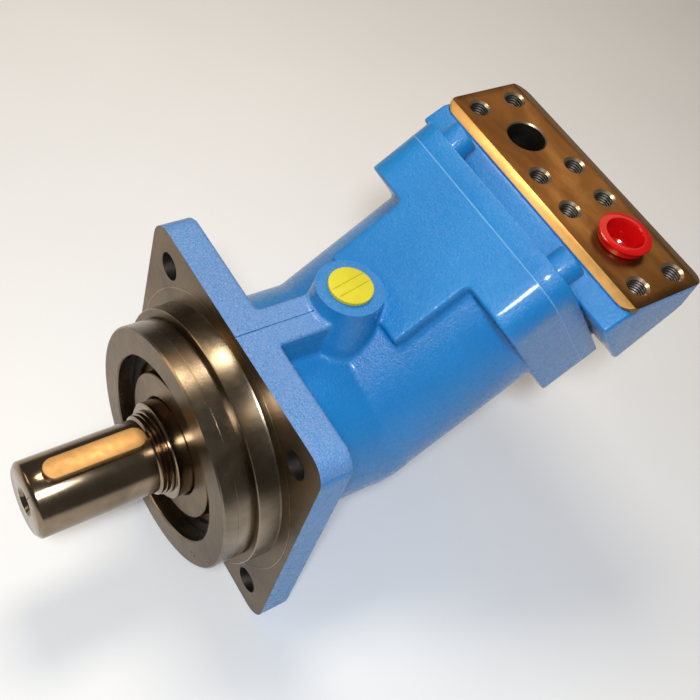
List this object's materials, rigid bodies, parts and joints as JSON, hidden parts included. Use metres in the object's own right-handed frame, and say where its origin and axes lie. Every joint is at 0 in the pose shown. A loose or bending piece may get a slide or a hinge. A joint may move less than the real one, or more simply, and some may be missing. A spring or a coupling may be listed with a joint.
{
  "type": "hydraulic motor",
  "caption": "Bent-axis axial piston hydraulic motor with a square mounting flange, a keyed shaft and two ports on one top face",
  "frame": {"origin": "centre of the pilot at the mounting flange's front face, on the shaft axis", "axes": "+X along the shaft axis into the motor, +Z out of the port face, +Y towards port A"},
  "size_m": [0.3969, 0.195, 0.2553],
  "materials": {
    "blue_paint": "blue paint over cast iron, fine orange peel; machined nose",
    "blue_port_plate": "blue paint over cast iron; the port face is machined bare iron with a warm oiled sheen",
    "shaft_steel": "ground steel",
    "key_steel": "drawn steel",
    "cover_steel": "turned dark steel",
    "black_steel": "blackened steel",
    "race_steel": "ground bearing steel",
    "block_steel": "nitrided steel",
    "piston_steel": "ground steel",
    "bronze": "bearing bronze",
    "rubber": "black nitrile rubber",
    "red_plastic": "red polyethylene, glossy",
    "yellow_plastic": "yellow polyethylene"
  },
  "bodies": {
    "housing": {"motor_housing": "blue_paint", "port_plate": "blue_port_plate", "seal_cover": "cover_steel", "snap_ring": "black_steel", "shaft_seal": "rubber", "seal_cover_o_ring": "rubber", "port_plate_o_ring": "rubber", "front_bearing_outer_race": "race_steel", "rear_bearing_outer_race": "race_steel", "valve_plate": "bronze", "valve_plate_dowel": "race_steel", "drain_plug_top": "yellow_plastic", "drain_plug_bottom": "shaft_steel", "port_b_cap": "red_plastic", "port_plate_screw_1": "blue_paint", "port_plate_screw_2": "blue_paint", "port_plate_screw_3": "blue_paint", "port_plate_screw_4": "blue_paint"},
    "shaft": {"drive_shaft": "shaft_steel", "shaft_key": "key_steel", "front_bearing_inner_race": "race_steel", "rear_bearing_inner_race": "race_steel"},
    "block": {"cylinder_block": "block_steel", "centre_pin": "piston_steel", "centre_spring": "black_steel"},
    "front_rollers": {"front_bearing_rollers": "race_steel"},
    "rear_rollers": {"rear_bearing_rollers": "race_steel"},
    "seat_1": {"ball_seat_1": "bronze"},
    "piston_1": {"piston_1": "piston_steel", "piston_ring_1": "race_steel"},
    "seat_2": {"ball_seat_2": "bronze"},
    "piston_2": {"piston_2": "piston_steel", "piston_ring_2": "race_steel"},
    "seat_3": {"ball_seat_3": "bronze"},
    "piston_3": {"piston_3": "piston_steel", "piston_ring_3": "race_steel"},
    "seat_4": {"ball_seat_4": "bronze"},
    "piston_4": {"piston_4": "piston_steel", "piston_ring_4": "race_steel"},
    "seat_5": {"ball_seat_5": "bronze"},
    "piston_5": {"piston_5": "piston_steel", "piston_ring_5": "race_steel"},
    "seat_6": {"ball_seat_6": "bronze"},
    "piston_6": {"piston_6": "piston_steel", "piston_ring_6": "race_steel"},
    "seat_7": {"ball_seat_7": "bronze"},
    "piston_7": {"piston_7": "piston_steel", "piston_ring_7": "race_steel"}
  },
  "joints": [
    {"name": "shaft_spin", "type": "hinge", "parent": "housing", "child": "shaft", "pos_m": [0, 0, 0], "axis": [1, 0, 0], "continuous": true},
    {"name": "block_spin", "type": "hinge", "parent": "housing", "child": "block", "pos_m": [0.095, 0, 0], "axis": [0.766, 0, 0.6428], "continuous": true},
    {"name": "front_roller_roll", "type": "hinge", "parent": "housing", "child": "front_rollers", "pos_m": [0, 0, 0], "axis": [1, 0, 0], "continuous": true},
    {"name": "rear_roller_roll", "type": "hinge", "parent": "housing", "child": "rear_rollers", "pos_m": [0, 0, 0], "axis": [1, 0, 0], "continuous": true},
    {"name": "seat_1_turn", "type": "hinge", "parent": "shaft", "child": "seat_1", "pos_m": [0.095, 0, 0.04303], "axis": [1, 0, 0], "continuous": true},
    {"name": "piston_1_swing", "type": "hinge", "parent": "seat_1", "child": "piston_1", "pos_m": [0.095, 0, 0.04303], "axis": [0.766, 0, 0.6428], "continuous": true},
    {"name": "seat_2_turn", "type": "hinge", "parent": "shaft", "child": "seat_2", "pos_m": [0.095, -0.03364, 0.02683], "axis": [1, 0, 0], "continuous": true},
    {"name": "piston_2_swing", "type": "hinge", "parent": "seat_2", "child": "piston_2", "pos_m": [0.095, -0.03364, 0.02683], "axis": [0.766, 0, 0.6428], "continuous": true},
    {"name": "seat_3_turn", "type": "hinge", "parent": "shaft", "child": "seat_3", "pos_m": [0.095, -0.04195, -0.00958], "axis": [1, 0, 0], "continuous": true},
    {"name": "piston_3_swing", "type": "hinge", "parent": "seat_3", "child": "piston_3", "pos_m": [0.095, -0.04195, -0.00958], "axis": [0.766, 0, 0.6428], "continuous": true},
    {"name": "seat_4_turn", "type": "hinge", "parent": "shaft", "child": "seat_4", "pos_m": [0.095, -0.01867, -0.03877], "axis": [1, 0, 0], "continuous": true},
    {"name": "piston_4_swing", "type": "hinge", "parent": "seat_4", "child": "piston_4", "pos_m": [0.095, -0.01867, -0.03877], "axis": [0.766, 0, 0.6428], "continuous": true},
    {"name": "seat_5_turn", "type": "hinge", "parent": "shaft", "child": "seat_5", "pos_m": [0.095, 0.01867, -0.03877], "axis": [1, 0, 0], "continuous": true},
    {"name": "piston_5_swing", "type": "hinge", "parent": "seat_5", "child": "piston_5", "pos_m": [0.095, 0.01867, -0.03877], "axis": [0.766, 0, 0.6428], "continuous": true},
    {"name": "seat_6_turn", "type": "hinge", "parent": "shaft", "child": "seat_6", "pos_m": [0.095, 0.04195, -0.00958], "axis": [1, 0, 0], "continuous": true},
    {"name": "piston_6_swing", "type": "hinge", "parent": "seat_6", "child": "piston_6", "pos_m": [0.095, 0.04195, -0.00958], "axis": [0.766, 0, 0.6428], "continuous": true},
    {"name": "seat_7_turn", "type": "hinge", "parent": "shaft", "child": "seat_7", "pos_m": [0.095, 0.03364, 0.02683], "axis": [1, 0, 0], "continuous": true},
    {"name": "piston_7_swing", "type": "hinge", "parent": "seat_7", "child": "piston_7", "pos_m": [0.095, 0.03364, 0.02683], "axis": [0.766, 0, 0.6428], "continuous": true}
  ],
  "couplings": [
    {"joint": "block_spin", "follows": "shaft_spin", "ratio": 1},
    {"joint": "front_roller_roll", "follows": "shaft_spin", "ratio": 0.435},
    {"joint": "rear_roller_roll", "follows": "shaft_spin", "ratio": 0.435},
    {"joint": "seat_1_turn", "follows": "shaft_spin", "ratio": -1},
    {"joint": "piston_1_swing", "follows": "shaft_spin", "ratio": -1},
    {"joint": "seat_2_turn", "follows": "shaft_spin", "ratio": -1},
    {"joint": "piston_2_swing", "follows": "shaft_spin", "ratio": -1},
    {"joint": "seat_3_turn", "follows": "shaft_spin", "ratio": -1},
    {"joint": "piston_3_swing", "follows": "shaft_spin", "ratio": -1},
    {"joint": "seat_4_turn", "follows": "shaft_spin", "ratio": -1},
    {"joint": "piston_4_swing", "follows": "shaft_spin", "ratio": -1},
    {"joint": "seat_5_turn", "follows": "shaft_spin", "ratio": -1},
    {"joint": "piston_5_swing", "follows": "shaft_spin", "ratio": -1},
    {"joint": "seat_6_turn", "follows": "shaft_spin", "ratio": -1},
    {"joint": "piston_6_swing", "follows": "shaft_spin", "ratio": -1},
    {"joint": "seat_7_turn", "follows": "shaft_spin", "ratio": -1},
    {"joint": "piston_7_swing", "follows": "shaft_spin", "ratio": -1}
  ]
}
